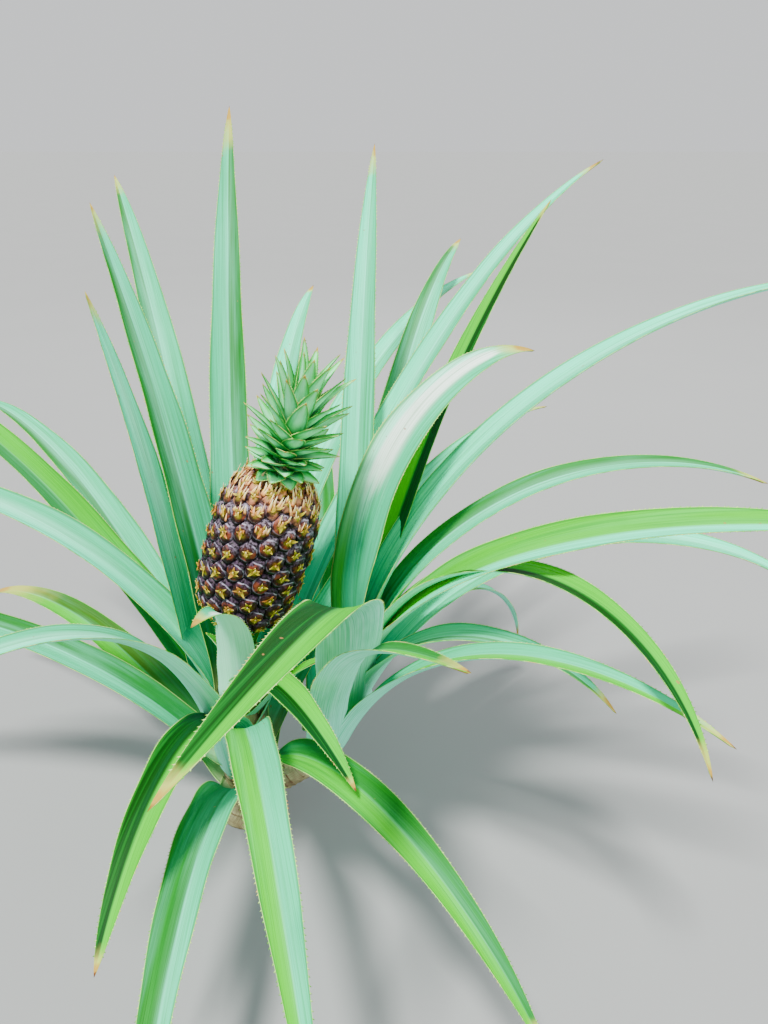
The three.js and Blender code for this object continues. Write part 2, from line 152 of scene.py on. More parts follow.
class Bag:
    """What one piece is made of: places with two texture places each, and faces with a material number."""

    def __init__(self):
        self.places, self.marks, self.faces, self.kinds, self.count = [], [], [], [], 0

    def add(self, places, faces, marks, kinds):
        """faces is a list of arrays with three or four columns. kinds has a number or an array for each."""
        self.places.append(places)
        self.marks.append(marks)
        for block, kind in zip(faces, kinds):
            self.faces.append(np.asarray(block) + self.count)
            self.kinds.append(np.broadcast_to(kind, len(block)))
        self.count += len(places)

    def piece(self, name, paints, slot, nodes, weld=False):
        mesh = bpy.data.meshes.new(name)
        corners = np.concatenate([block.ravel() for block in self.faces])
        sizes = np.concatenate([np.full(len(block), block.shape[1]) for block in self.faces])
        mesh.vertices.add(self.count)
        mesh.vertices.foreach_set("co", (np.concatenate(self.places) * MILLI).ravel().astype(np.float32))
        mesh.loops.add(len(corners))
        mesh.loops.foreach_set("vertex_index", corners.astype(np.int32))
        mesh.polygons.add(len(sizes))
        mesh.polygons.foreach_set("loop_start", (np.cumsum(sizes) - sizes).astype(np.int32))
        mesh.polygons.foreach_set("material_index", np.concatenate(self.kinds).astype(np.int32))
        mesh.polygons.foreach_set("use_smooth", np.ones(len(sizes), bool))
        marks = np.concatenate(self.marks)[corners]
        for label, columns in (("Blade", slice(0, 2)), ("Grain", slice(2, 4))):
            layer = mesh.uv_layers.new(name=label)
            layer.uv.foreach_set("vector", marks[:, columns].ravel().astype(np.float32))
        for paint in paints:
            mesh.materials.append(paint)
        mesh.update(calc_edges=True)
        if weld:
            work = bmesh.new()
            work.from_mesh(mesh)
            bmesh.ops.remove_doubles(work, verts=work.verts, dist=1e-6)
            work.to_mesh(mesh)
            work.free()
        made = bpy.data.objects.new(name, mesh)
        bpy.context.scene.collection.objects.link(made)
        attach(made, "root")
        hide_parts(*nodes)
        return made


class Paint:
    """A material whose colour, roughness and relief come from nodes."""

    def __init__(self, name, specular=0.5):
        self.material = bpy.data.materials.new(name)
        self.material.use_nodes = True
        self.tree = self.material.node_tree
        self.shader = self.tree.nodes["Principled BSDF"]
        self.shader.inputs["Specular IOR Level"].default_value = specular

    def node(self, kind, settings=None, **inputs):
        """A new node. Its inputs are given by name, or by number as i0, i1 and so on."""
        made = self.tree.nodes.new("ShaderNode" + kind)
        for key, value in (settings or {}).items():
            setattr(made, key, value)
        for key, value in inputs.items():
            numbered = key[0] == "i" and key[1:].isdigit()
            self.put(made.inputs[int(key[1:]) if numbered else key], value)
        return made

    def put(self, socket, value):
        if isinstance(value, bpy.types.NodeSocket):
            self.tree.links.new(value, socket)
        else:
            socket.default_value = value

    def math(self, operation, a, b=0.0):
        return self.node("Math", {"operation": operation}, i0=a, i1=b).outputs[0]

    def times(self, a, b):
        return self.math("MULTIPLY", a, b)

    def swayed(self, value, noise, amount):
        """A value that a noise pushes up and down."""
        return self.math("ADD", value, self.times(self.math("SUBTRACT", noise, 0.5), amount))

    def band(self, value, low, high, first=0.0, last=1.0):
        """first below low, last above high, and a smooth turn between."""
        settings = {"interpolation_type": "SMOOTHSTEP"}
        return self.node("MapRange", settings, i0=value, i1=low, i2=high, i3=first, i4=last).outputs[0]

    def colour(self, share, a, b, blend="MIX"):
        """Between two colours, each of them three numbers or a socket."""
        made = self.node("Mix", {"data_type": "RGBA", "blend_type": blend, "clamp_factor": True})
        self.put(made.inputs[0], share)
        for socket, value in ((made.inputs[6], a), (made.inputs[7], b)):
            self.put(socket, value if isinstance(value, bpy.types.NodeSocket) else (*value, 1))
        return made.outputs[2]

    def over(self, colour, other, value, low, high, most=1.0):
        """Another colour laid over the first, from none of it at low to the most at high."""
        return self.colour(self.band(value, low, high, 0, most), colour, other)

    def ramp(self, value, *stops):
        made = self.node("ValToRGB", i0=value)
        steps = made.color_ramp.elements
        while len(steps) < len(stops):
            steps.new(0.5)
        for step, (place, colour) in zip(steps, stops):
            step.position = place
            step.color = (*colour, 1)
        return made.outputs[0]

    def mark(self, name):
        """The two parts of a texture place."""
        split = self.node("SeparateXYZ", i0=self.node("UVMap", {"uv_map": name}).outputs[0])
        return split.outputs[0], split.outputs[1]

    def from_middle(self, across):
        """0 in a blade's middle and 1 at its margins."""
        return self.math("ABSOLUTE", self.math("SUBTRACT", self.times(across, 2.0), 1.0))

    def solid_place(self):
        return self.node("TexCoord").outputs["Object"]

    def noise(self, place, scale, detail):
        made = self.node("TexNoise", i0=place)
        made.inputs["Scale"].default_value = scale
        made.inputs["Detail"].default_value = detail
        return made.outputs[0]

    def streaks(self, mark, across_scale, along_scale, detail):
        """Noise on a texture place that has its own scale each way."""
        x, y = self.times(mark[0], across_scale), self.times(mark[1], along_scale)
        return self.noise(self.node("CombineXYZ", i0=x, i1=y).outputs[0], 1.0, detail)

    def finish(self, colour, rough, relief, depth):
        self.put(self.shader.inputs["Base Color"], colour)
        self.put(self.shader.inputs["Roughness"], rough)
        bump = self.node("Bump", Height=relief)
        bump.inputs["Strength"].default_value = BUMP_STRENGTH
        bump.inputs["Distance"].default_value = depth
        self.put(self.shader.inputs["Normal"], bump.outputs[0])
        return self.material


# Leaf tones: the colour left and right of the fold, painted as the lit and the shaded half, where the fold
# falls, the shares of pale bloom and of painted white highlight over the wax, and the share of the blade that
# is dry at its tip.
# The two colours of a tone are painted light and shade on the channel's halves; DEEP paints a half in deep
# shade.
MINT, PALE, LIME, GREEN = (0.008, 0.56, 0.27), (0.03, 0.86, 0.50), (0.05, 0.50, 0.0), (0.004, 0.18, 0.008)
DEEP, SILVER, OLIVE = (0.002, 0.045, 0.001), (0.16, 0.96, 0.68), (0.035, 0.13, 0.001)
TONES = {
    "mint": (MINT, PALE, 0.50, 0.40, 0.15, 0.02),
    "pale": (MINT, PALE, 0.50, 0.35, 0.42, 0.02),
    "mint_deep": (MINT, GREEN, 0.55, 0.30, 0.18, 0.02),
    "deep_mint": (GREEN, MINT, 0.48, 0.30, 0.12, 0.03),
    "lime": (LIME, GREEN, 0.55, 0.08, 0.03, 0.02),
    "lime_pale": (LIME, MINT, 0.50, 0.10, 0.03, 0.02),
    "pale_lime": (PALE, LIME, 0.38, 0.06, 0.04, 0.02),
    "deep_lime": (DEEP, LIME, 0.50, 0.02, 0.0, 0.015),
    "green": (GREEN, MINT, 0.62, 0.20, 0.06, 0.05),
    "white": (MINT, LIME, 0.78, 0.12, 1.0, 0.05),
    "old": (OLIVE, LIME, 0.50, 0.10, 0.0, 0.16),
}

# The white painted highlight and glare over the wax, and what lies over a leaf's tones.
WAX_HIGHLIGHT_WHITE, PAINTED_GLARE = (0.36, 1.0, 0.74), (0.88, 1.0, 0.94)
STREAK_GREEN, LINE_GREEN, LINE_DEPTH = (0.004, 0.24, 0.02), (0.06, 0.44, 0.16), 0.4
# FOOT_SHADE_GREEN is the painted shade at a leaf's foot.
FOOT_SHADE_GREEN, FOOT_PALE, EDGE_GREEN = (0.004, 0.26, 0.11), (0.55, 0.66, 0.34), (0.01, 0.20, 0.01)
UNDERSIDE_LINES = [(0.08, 0.74, 0.42), (0.24, 0.95, 0.66), (0.42, 1.0, 0.82)]
UNDERSIDE_GREEN, UNDERSIDE_PAINTED_LIGHT = (0.03, 0.56, 0.20), (0.54, 1.0, 0.80)

# Margins, and dry and spotted places.
CREAM, AMBER, MARGIN_GREEN = (0.50, 0.80, 0.22), (0.62, 0.36, 0.10), (0.12, 0.46, 0.03)
YELLOWED, TAN, RUST, SPECK = (0.50, 0.52, 0.10), (0.42, 0.27, 0.04), (0.20, 0.07, 0.02), (0.34, 0.16, 0.06)
LEAF_SPECULAR, BUMP_STRENGTH = 0.1, 0.6


def blade_paint(name, left, right, fold, bloom, wax_and_painted_light, dry):
    """A leaf's skin: two sides painted as a lit and a shaded half, fine lines, bloom, a painted highlight and
    glare over the wax, a foot darkened by painted shade, a cream margin and a dry tip.
    """
    paint = Paint(name, LEAF_SPECULAR)
    across, along = paint.mark("Blade")
    grain = paint.mark("Grain")
    fine = paint.streaks(grain, 1500, 9, 4)
    broad = paint.streaks(grain, 90, 5, 3)
    mottle = paint.streaks(grain, 55, 28, 4)
    # The two sides, painted as the lit and the shaded half of the channel, and the bloom.
    bent = paint.swayed(across, broad, 0.08)
    colour = paint.colour(paint.band(bent, fold - 0.07, fold + 0.07), left, right)
    colour = paint.over(colour, SILVER, broad, 0.40, 0.72, bloom)
    # A painted highlight along the fold, in the bloom's colour.
    off = paint.math("ABSOLUTE", paint.math("SUBTRACT", bent, fold))
    colour = paint.over(colour, SILVER, off, 0.05, 0.01, min(0.5, 1.4 * bloom))
    # A painted white highlight over the wax on the middle of the blade, and a painted glare on its left where
    # the highlight is strongest.
    highlight_along = paint.swayed(along, broad, 0.2)
    highlight_share = paint.times(paint.band(highlight_along, 0.22, 0.60, 0, wax_and_painted_light), paint.band(highlight_along, 0.97, 0.80))
    colour = paint.colour(paint.times(highlight_share, paint.band(off, 0.38, 0.06)), colour, WAX_HIGHLIGHT_WHITE)
    left_part = paint.band(bent, fold - 0.48, fold - 0.26)
    glare_share = paint.times(left_part, paint.band(bent, fold + 0.05, fold - 0.03))
    glare_share = paint.times(glare_share, paint.band(highlight_share, 0.50, 0.90, 0, 0.9))
    colour = paint.colour(glare_share, colour, PAINTED_GLARE)
    # Streaks, fine lines and mottling, and a foot darkened by painted shade, then pale at its very end.
    streak = paint.streaks(grain, 260, 3, 2)
    colour = paint.over(colour, STREAK_GREEN, streak, 0.52, 0.70, 0.45)
    shade = paint.colour(LINE_DEPTH, colour, LINE_GREEN, "MULTIPLY")
    colour = paint.over(colour, shade, fine, 0.42, 0.66)
    colour = paint.over(colour, shade, mottle, 0.55, 0.80, 0.35)
    colour = paint.over(colour, FOOT_SHADE_GREEN, along, 0.40, 0.05, 0.35)
    colour = paint.over(colour, FOOT_PALE, along, 0.12, 0.0, 0.7)
    # A dark line and a cream one along each margin.
    edge = paint.from_middle(across)
    colour = paint.over(colour, EDGE_GREEN, edge, 0.84, 0.93, 0.6)
    colour = paint.over(colour, CREAM, edge, 0.965, 0.985, 0.8)
    # The dry tip, yellow before it is tan, and small specks.
    worn = paint.swayed(along, mottle, 0.10)
    colour = paint.over(colour, YELLOWED, worn, 1 - 2.2 * dry - 0.03, 1 - dry - 0.01, 0.8)
    colour = paint.over(colour, TAN, worn, 1 - dry - 0.015, 1 - 0.8 * dry)
    colour = paint.over(colour, RUST, worn, 1 - 0.35 * dry, 1)
    colour = paint.over(colour, SPECK, paint.streaks(grain, 160, 110, 1), 0.76, 0.80, 0.7)
    relief = paint.math("ADD", fine, paint.times(streak, 2.0))
    return paint.finish(colour, paint.band(broad, 0.3, 0.7, 0.44, 0.66), relief, 0.0008)


def underside_paint(name, dry, wax_and_painted_light):
    """The silvery underside: close pale lines between the veins, whitened more or less by painted light."""
    paint = Paint(name, LEAF_SPECULAR)
    along = paint.mark("Blade")[1]
    grain = paint.mark("Grain")
    fine = paint.streaks(grain, 1300, 6, 3)
    broad = paint.streaks(grain, 60, 9, 3)
    colour = paint.ramp(fine, *zip((0.34, 0.52, 0.70), UNDERSIDE_LINES))
    colour = paint.over(colour, UNDERSIDE_GREEN, broad, 0.45, 0.75, 0.35)
    # Painted light: the underside whitened towards a near-white mint by the share given.
    colour = paint.colour(paint.band(broad, 0.62, 0.40, 0.6 * wax_and_painted_light, wax_and_painted_light), colour, UNDERSIDE_PAINTED_LIGHT)
    worn = paint.swayed(along, broad, 0.1)
    colour = paint.over(colour, TAN, worn, 1 - 2 * dry - 0.02, 1 - 0.8 * dry)
    return paint.finish(colour, paint.band(fine, 0.3, 0.7, 0.5, 0.72), fine, 0.0005)


def margin_paint(name, ground):
    """Margins and their teeth: cream over a ground colour, going rusty here and there."""
    paint = Paint(name, 0.25)
    patch = paint.noise(paint.solid_place(), 60.0, 3)
    colour = paint.ramp(patch, (0.44, ground), (0.56, CREAM), (0.70, AMBER), (0.84, RUST))
    return paint.finish(colour, paint.band(patch, 0.3, 0.7, 0.45, 0.65), patch, 0.0004)


MARGIN = margin_paint("margin", MARGIN_GREEN)
UNDERSIDE = underside_paint("leaf_underside", 0.03, 0.0)
# The white tone's underside is whitened by painted light, as if lit.
PAINTED_LIGHT_UNDERSIDE = underside_paint("leaf_underside_painted_light", 0.05, 0.6)
skins = {}


def skin(tone):
    if tone not in skins:
        skins[tone] = blade_paint("leaf_" + tone, *TONES[tone])
    return skins[tone]


def blade(bag, t, place, across, over, half, cup, thick, teeth, columns=14, edge=0.6, power=1.5):
    """A closed blade along a spine: a channelled top, a rounded underside, thin margins and small teeth.

    t is the share of the length at each place of the spine. half, cup and thick are its half width, its
    channel's depth and its thickness there. teeth is their size and pitch, or None. Faces are of kind 0 on
    top, 1 below and 2 at the margins.
    """
    step = np.linspace(-1, 1, columns + 1)
    a = np.sin(step * math.pi / 2) * CROWDING + step * (1 - CROWDING)
    lift = np.clip((abs(a) - CHANNEL_FLAT) / (1 - CHANNEL_FLAT), 0, 1) ** power
    lift = CHANNEL_FLOOR + (1 - CHANNEL_FLOOR) * lift
    furrow = FURROW_DEPTH * np.exp(-(a / FURROW_WIDTH) ** 2)
    over_lift = cup[:, None] * (lift - furrow)
    depth = edge + np.maximum(0, thick - edge)[:, None] * (1 - a * a)
    flat = place[:, None] + across[:, None] * (half[:, None] * a)[..., None]
    top = flat + over[:, None] * over_lift[..., None]
    low = flat + over[:, None] * (over_lift - depth)[..., None]
    ring = np.concatenate([top, low[:, ::-1]], 1)[:-1]
    rings, width = ring.shape[:2]
    run = length_along(place)
    shift = np.array([chance.random(), chance.random()])
    sides = np.concatenate([a, a[::-1]])
    marks = np.stack(
        [
            np.broadcast_to(sides / 2 + 0.5, (rings, width)),
            np.broadcast_to(t[:-1, None], (rings, width)),
            sides * half[:-1, None] * MILLI + shift[0],
            np.broadcast_to(run[:-1, None] * MILLI, (rings, width)) + shift[1],
        ],
        -1,
    )
    places = np.concatenate([ring.reshape(-1, 3), place[-1:]])
    marks = np.concatenate([marks.reshape(-1, 4), [[0.5, 1, shift[0], run[-1] * MILLI + shift[1]]]])
    kind = np.where(np.arange(width) < columns, 0, 1)
    kind[[columns, width - 1]] = 2
    tip = flipped(fan((rings - 1) * width, width, rings * width))
    k = np.arange(columns)
    foot = np.stack([k, k + 1, width - 2 - k, width - 1 - k], -1)
    bag.add(places, [wall(rings, width), tip, foot], marks, [np.tile(kind, rings - 1), kind, 1])
    if teeth:
        add_teeth(bag, run, place, across, over, half, cup, edge, *teeth)


def add_teeth(bag, run, place, across, over, half, cup, edge, size, pitch):
    """Small hooked teeth along both margins, smaller towards the foot."""
    count = int(run[-1] * TOOTHED_SHARE / pitch)
    for side in (-1, 1):
        wobble = np.array([chance.uniform(-0.3, 0.3) for _ in range(count)])
        at = (np.arange(count) + 0.6 + wobble) * pitch
        middle = read_off(at, run, place)
        out, up = unit(read_off(at, run, across)) * side, unit(read_off(at, run, over))
        ahead = unit(np.cross(up, out) * -side)
        grown = size * mix(0.35, 1.0, smooth(0.1, 0.55, at / run[-1]))[:, None]
        wide, high = np.interp(at, run, half)[:, None], np.interp(at, run, cup)[:, None]
        root = middle + out * (wide - TOOTH_SUNK) + up * (high - edge / 2)
        # Four corners at the root, then the point, which hooks ahead and a little upwards.
        corners = [
            root - ahead * 0.55 * grown,
            root + up * edge * 0.45,
            root + ahead * 0.55 * grown,
            root - up * edge * 0.45,
            root + out * (TOOTH_SUNK + 0.8 * grown) + ahead * 0.75 * grown + up * 0.25 * grown,
        ]
        places = np.stack(corners, 1).reshape(-1, 3)
        first = np.arange(count)[:, None] * len(corners)
        slopes = [(0, 4, 1), (1, 4, 2), (2, 4, 3), (3, 4, 0)]
        slopes = slopes if side > 0 else [(a, c, b) for a, b, c in slopes]
        faces = np.concatenate([first + np.array([slope]) for slope in slopes])
        base = first + np.array([[0, 1, 2, 3] if side > 0 else [3, 2, 1, 0]])
        bag.add(places, [faces, base], np.zeros((len(places), 4)), [2, 2])


def spine(leaf, rings):
    """The rule's spine: places and frames at even shares of the leaf's length."""
    t = (np.arange(SPINE_STEPS + 1) + 0.5) / SPINE_STEPS
    foot = leaf["foot"] * np.maximum(0, 1 - t * leaf["length"] / FOOT_RUN)
    azimuth = leaf["azimuth"] + leaf["swing"] * t ** 1.5
    ahead = direction(azimuth, leaf["rise"] - leaf["droop"] * t ** leaf["bend"] - foot)
    level = direction(azimuth + 90, 0 * t)
    roll = np.radians(leaf["roll"] * (1 - (1 - t) ** 3))[:, None]
    across = level * np.cos(roll) + np.cross(ahead, level) * np.sin(roll)
    over = np.cross(ahead, across)
    steps = ahead[:-1] * leaf["length"] / SPINE_STEPS
    place = leaf["base"] + np.concatenate([[[0, 0, 0]], np.cumsum(steps, axis=0)])
    even = np.linspace(0, 1, rings + 1)
    known = np.arange(SPINE_STEPS + 1) / SPINE_STEPS
    place, across, over = (read_off(even, known, values) for values in (place, across, over))
    return even, place, unit(across), unit(over)


def grow_leaf(name, leaf, nodes, tone):
    """One leaf of a rosette, with a slight wave of its own along each margin."""
    t, place, across, over = spine(leaf, LEAF_RINGS)
    phase, waves = chance.uniform(0, 6.3), chance.uniform(2.2, 4.2)
    clasp = 0.35 * np.exp(-((t / 0.07) ** 2))
    body = np.minimum(1, 0.78 + 1.1 * t) * np.maximum(0, 1 - t ** 2.2) ** 0.8
    wave = 1 + 0.025 * np.sin(phase + waves * 9 * t) * smooth(0.1, 0.3, t)
    half = leaf["width"] / 2 * (body * wave + clasp)
    swell = 1 + 0.10 * np.sin(phase * 2 + waves * 6 * t)
    cup = half * mix(0.55, 0.28, np.minimum(1, t / 0.35)) * swell
    thick = np.minimum(leaf["length"] / LENGTH_TO_THICKNESS, LEAF_THICKEST) * (1 - 0.66 * t)
    bag = Bag()
    blade(bag, t, place, across, over, half, cup, thick, (LEAF_TOOTH, LEAF_TOOTH_PITCH))
    under = PAINTED_LIGHT_UNDERSIDE if tone == "white" else UNDERSIDE
    bag.piece(name, [skin(tone), under, MARGIN], "leaf", nodes)


def on_main_stem(azimuth, rank):
    out = direction(azimuth, 0) * 0.55 * STEM_RADIUS
    return out + [0, 0, mix(LOWEST_LEAF, HIGHEST_LEAF, rank)]


def shoot_point(share):
    a, b, c = SHOOT_CURVE
    return (1 - share) ** 2 * a + 2 * share * (1 - share) * b + share ** 2 * c


def on_shoot(azimuth, rank):
    start = shoot_point(mix(SHOOT_LEAVES_START, SHOOT_LEAVES_END, rank))
    return start + direction(azimuth, 0) * 0.5 * SHOOT_RADIUS


# Leaves as the solids have them, lowest first: azimuth, rise, droop, length, tone, and what differs
# from the rule. Here leaf_22 and shoot_leaf_02 each leave their stem turned three degrees away from
# the other, swing back towards the tip and are 2 mm narrower, which keeps their blades from crossing.
MAIN_LEAVES = [
    (148, 50, 88, 560, "old", {}),
    (270, 66, 112, 520, "green", {"bend": 1}),
    (72, 52, 84, 620, "deep_lime", {}),
    (238, 86, 99, 541, "pale", {"bend": 1.55, "width": 59}),
    (308, 68, 112, 540, "lime", {"bend": 1}),
    (112, 56, 80, 660, "lime", {}),
    (178, 54, 84, 640, "deep_mint", {}),
    (46, 56, 66, 700, "deep_mint", {}),
    (286, 80, 124, 560, "lime_pale", {"bend": 0.9}),
    (138, 60, 72, 700, "mint_deep", {}),
    (85, 62, 58, 760, "mint", {}),
    (180, 89, 94, 660, "pale", {"bend": 0.9, "swing": 9, "foot": 3, "width": 62}),
    (262, 84, 124, 400, "deep_lime", {"bend": 0.8}),
    (160, 66, 56, 700, "lime", {}),
    (114, 71, 48, 780, "mint_deep", {}),
    (31, 64, 43, 795, "mint", {"bend": 2.2, "swing": 6}),
    (163, 86, 15, 518, "pale", {"bend": 2.3, "swing": -11, "foot": 110, "width": 46}),
    (338, 62, 30, 170, "deep_lime", {"width": 34}),
    (59, 71, 68, 735, "mint", {"bend": 1.05, "swing": -6}),
    (92, 77, 28, 700, "deep_mint", {}),
    (134, 83, 24, 560, "mint_deep", {}),
    (303, 84, 122, 290, "deep_lime", {"bend": 0.8, "swing": 6, "width": 42}),
    (287, 90, 100, 238, "white", {"bend": 2.9, "swing": -42, "roll": -12, "foot": 78, "width": 48}),
]
SHOOT_LEAVES = [
    (-38, 69, 91, 550, "lime_pale", {"bend": 1.5, "width": 44}),
    (-79, 68, 47, 550, "lime", {"bend": 1.4, "swing": 18, "width": 46}),
    (94, 56, 84, 600, "green", {}),
    (48, 56, 139, 460, "deep_mint", {"bend": 1.25, "swing": -15, "width": 36}),
    (-29, 80, 125, 420, "deep_mint", {"bend": 1.4, "width": 44}),
    (-21, 86, 141, 606, "deep_lime", {"bend": 1.35, "swing": -49, "width": 42}),
    (-3, 70, 111, 615, "mint", {"bend": 1.35, "swing": -12, "roll": 8, "width": 49}),
    (284, 69, 84, 614, "deep_lime", {"bend": 1.6, "swing": -45, "roll": 4, "width": 67}),
    (-35, 88, 86, 625, "pale_lime", {"bend": 0.7, "swing": 14, "roll": 22, "width": 56}),
    (72, 68, 60, 700, "mint_deep", {}),
    (3, 83, 105, 566, "mint_deep", {"bend": 1.05, "swing": -5, "roll": 5}),
    (15, 94, 94, 758, "mint", {"bend": 0.7, "swing": -4, "roll": -3, "width": 54}),
    (84, 78, 30, 600, "mint", {"width": 42}),
    (40, 74, 30, 550, "deep_lime", {"bend": 1.2, "width": 36}),
    (24, 90, 106, 450, "white", {"bend": 1.9, "swing": 11, "roll": 17, "foot": -10, "width": 70}),
]


def grow_rosette(name, plans, base_of):
    """Every leaf of a rosette. A long leaf that droops much stands for two nodes of the solids."""
    for i, (azimuth, rise, droop, length, tone, own) in enumerate(plans):
        rank = i / (len(plans) - 1)
        leaf = {"azimuth": azimuth, "rise": rise, "droop": droop, "length": length, "width": LEAF_WIDTH}
        leaf |= {"bend": LEAF_BEND, "swing": 0, "roll": 0, "foot": FOOT_TURN * (1 - rank)} | own
        leaf["base"] = base_of(azimuth, rank)
        label = f"{name}_{i + 1:02d}"
        split = droop >= SPLIT_DROOP and length >= SHORT_LEAF
        grow_leaf(label + "_blade", leaf, [label, label + "_tip"] if split else [label], tone)


grow_rosette("leaf", MAIN_LEAVES, on_main_stem)
grow_rosette("shoot_leaf", SHOOT_LEAVES, on_shoot)


# Where the fruit's parts stand.
stalk_axis = direction(FRUIT_LEAN_AZIMUTH, 90 - STALK_LEAN)
fruit_axis = direction(FRUIT_LEAN_AZIMUTH, 90 - FRUIT_LEAN)
crown_axis = direction(FRUIT_LEAN_AZIMUTH, 90 - CROWN_LEAN)
fruit_foot = np.array([0, 0, STEM_HEIGHT]) + stalk_axis * STALK_LENGTH
crown_foot = fruit_foot + fruit_axis * (FRUIT_HEIGHT + CROWN_GAP)


def fruit_radius(share):
    """The fruit's outline as the solids have it: the radius at a share of its height."""
    return FRUIT_RADIUS * np.maximum(0, 1 - abs(2 * share - FRUIT_BELLY) ** FRUIT_SQUARE) ** FRUIT_ROUND


def eye_heights():
    """The share of the fruit's height for any eye number, spaced so that eyes keep their shape."""
    share = np.linspace(LOWEST_EYE, HIGHEST_EYE, 401)
    run = np.hypot(np.diff(fruit_radius(share)), np.diff(share) * FRUIT_HEIGHT) / fruit_radius(share[:-1])
    climbed = np.concatenate([[0], np.cumsum(run)])
    return lambda n: np.interp(np.asarray(n) / EYE_COUNT * climbed[-1], climbed, share)


height_of = eye_heights()


def on_skin(turn, share, relief):
    """A place on the fruit, its outward direction, and the directions round it and up it."""
    slope = (fruit_radius(share + 0.002) - fruit_radius(share - 0.002)) / (0.004 * FRUIT_HEIGHT)
    slope = np.clip(slope, -2.5, 2.5)
    a = np.radians(turn)
    out = unit(np.stack([np.cos(a), np.sin(a), -slope], -1))
    right = np.stack([-np.sin(a), np.cos(a), 0 * a], -1)
    spot = fruit_radius(share)[..., None] * np.stack([np.cos(a), np.sin(a), 0 * a], -1)
    spot = spot + np.stack([0 * a, 0 * a, share * FRUIT_HEIGHT], -1)
    return spot + out * np.asarray(relief)[..., None], out, right, np.cross(out, right)


def place_fruit(points):
    return points @ turned_to(fruit_axis).T + fruit_foot


def corner_of(n, steps):
    """A corner of eye n's cell: the mean of the eye and two neighbours, given as steps in number."""
    turn = sum((step * GOLDEN_ANGLE + 180) % 360 - 180 for step in steps) / 3
    share = (height_of(n) + sum(height_of(n + step) for step in steps)) / 3
    return n * GOLDEN_ANGLE + turn, share


# Each eye's cell as steps in number to its neighbours, and its boss as rings: share of the cell, then height.
EYE_CORNERS = [(8, 21), (13, 21), (-8, 13), (-21, -8), (-21, -13), (-13, 8)]
EYE_RINGS = np.array([0.0, 0.10, 0.20, 0.32, 0.46, 0.60, 0.72, 0.82, 0.90, 0.96, 1.0])
EYE_RELIEF = np.array([4.0, 4.2, 4.3, 4.3, 4.2, 4.0, 3.6, 3.0, 2.2, 0.9, -0.9])
FARTHEST_STEP = 21


def rind():
    """The fruit's skin: a boss for each eye of the spiral lattice, with a sunk groove round it."""
    bag = Bag()
    shares = np.arange(EYE_SIDE_POINTS)[:, None] / EYE_SIDE_POINTS
    for n in range(FARTHEST_STEP, EYE_COUNT - FARTHEST_STEP):
        corners = np.array([corner_of(n, steps) for steps in EYE_CORNERS])
        sides = np.concatenate([mix(corners[k], corners[(k + 1) % 6], shares) for k in range(6)])
        centre = np.array([n * GOLDEN_ANGLE, float(height_of(n))])
        r = EYE_RINGS[1:, None, None]
        spots = centre + (sides - centre) * r
        local = (sides - centre) * r * [math.radians(1) * FRUIT_RADIUS, FRUIT_HEIGHT] / EYE_SIZE
        angle = np.arctan2(local[..., 1], local[..., 0])
        rough = np.array([chance.gauss(0, EYE_ROUGHNESS) for _ in range(angle.size)])
        relief = EYE_RELIEF[1:, None] + 0 * angle
        inside = np.clip(1 - EYE_RINGS[1:, None], 0, 1)
        # A boss is fuller at the foot of its cell and just above its middle.
        relief = relief + inside * (0.5 * np.exp(-((angle + math.pi / 2) / 0.55) ** 2) + 0.5 * np.sin(angle))
        relief = relief + np.minimum(1, 6 * inside) * rough.reshape(angle.shape)
        points = on_skin(spots[..., 0], spots[..., 1], relief)[0].reshape(-1, 3)
        middle = on_skin(centre[0], centre[1], EYE_RELIEF[0])[0][None]
        tint = chance.random()
        marks = np.concatenate([local.reshape(-1, 2), [[0, 0]]])
        marks = np.column_stack([marks, np.full(len(marks), tint), np.full(len(marks), centre[1])])
        rings, around = angle.shape
        faces = [wall(rings, around), fan(0, around, rings * around)]
        bag.add(place_fruit(np.concatenate([points, middle])), faces, marks, [0, 0])
    close_ends(bag.piece("fruit_rind", [rind_paint()], "fruit", ["fruit"], weld=True))


def close_ends(made):
    """Closes the rind below its lowest eyes and above its highest."""
    work = bmesh.new()
    work.from_mesh(made.data)
    rims = [edge for edge in work.edges if edge.is_boundary]
    middle = Vector(place_fruit(np.array([0, 0, FRUIT_HEIGHT / 2])) * MILLI)
    axis = Vector(fruit_axis)
    for at_top, share in ((False, 0.0), (True, 0.985)):
        rim = [edge for edge in rims if ((edge.verts[0].co - middle).dot(axis) > 0) == at_top]
        apex = work.verts.new(Vector(place_fruit(np.array([0, 0, share * FRUIT_HEIGHT])) * MILLI))
        for edge in rim:
            loop = edge.link_loops[0]
            work.faces.new((loop.link_loop_next.vert, loop.vert, apex)).smooth = True
    bmesh.ops.recalc_face_normals(work, faces=work.faces)
    work.to_mesh(made.data)
    work.free()


# The fruit's colours: an eye's from its middle to its groove, a bract's and a tuft's from foot to tip.
EYE_COLOURS = [
    (0.40, 0.22, 0.01),
    (0.20, 0.10, 0.005),
    (0.045, 0.012, 0.004),
    (0.020, 0.004, 0.004),
    (0.009, 0.002, 0.003),
    (0.002, 0.001, 0.001),
]
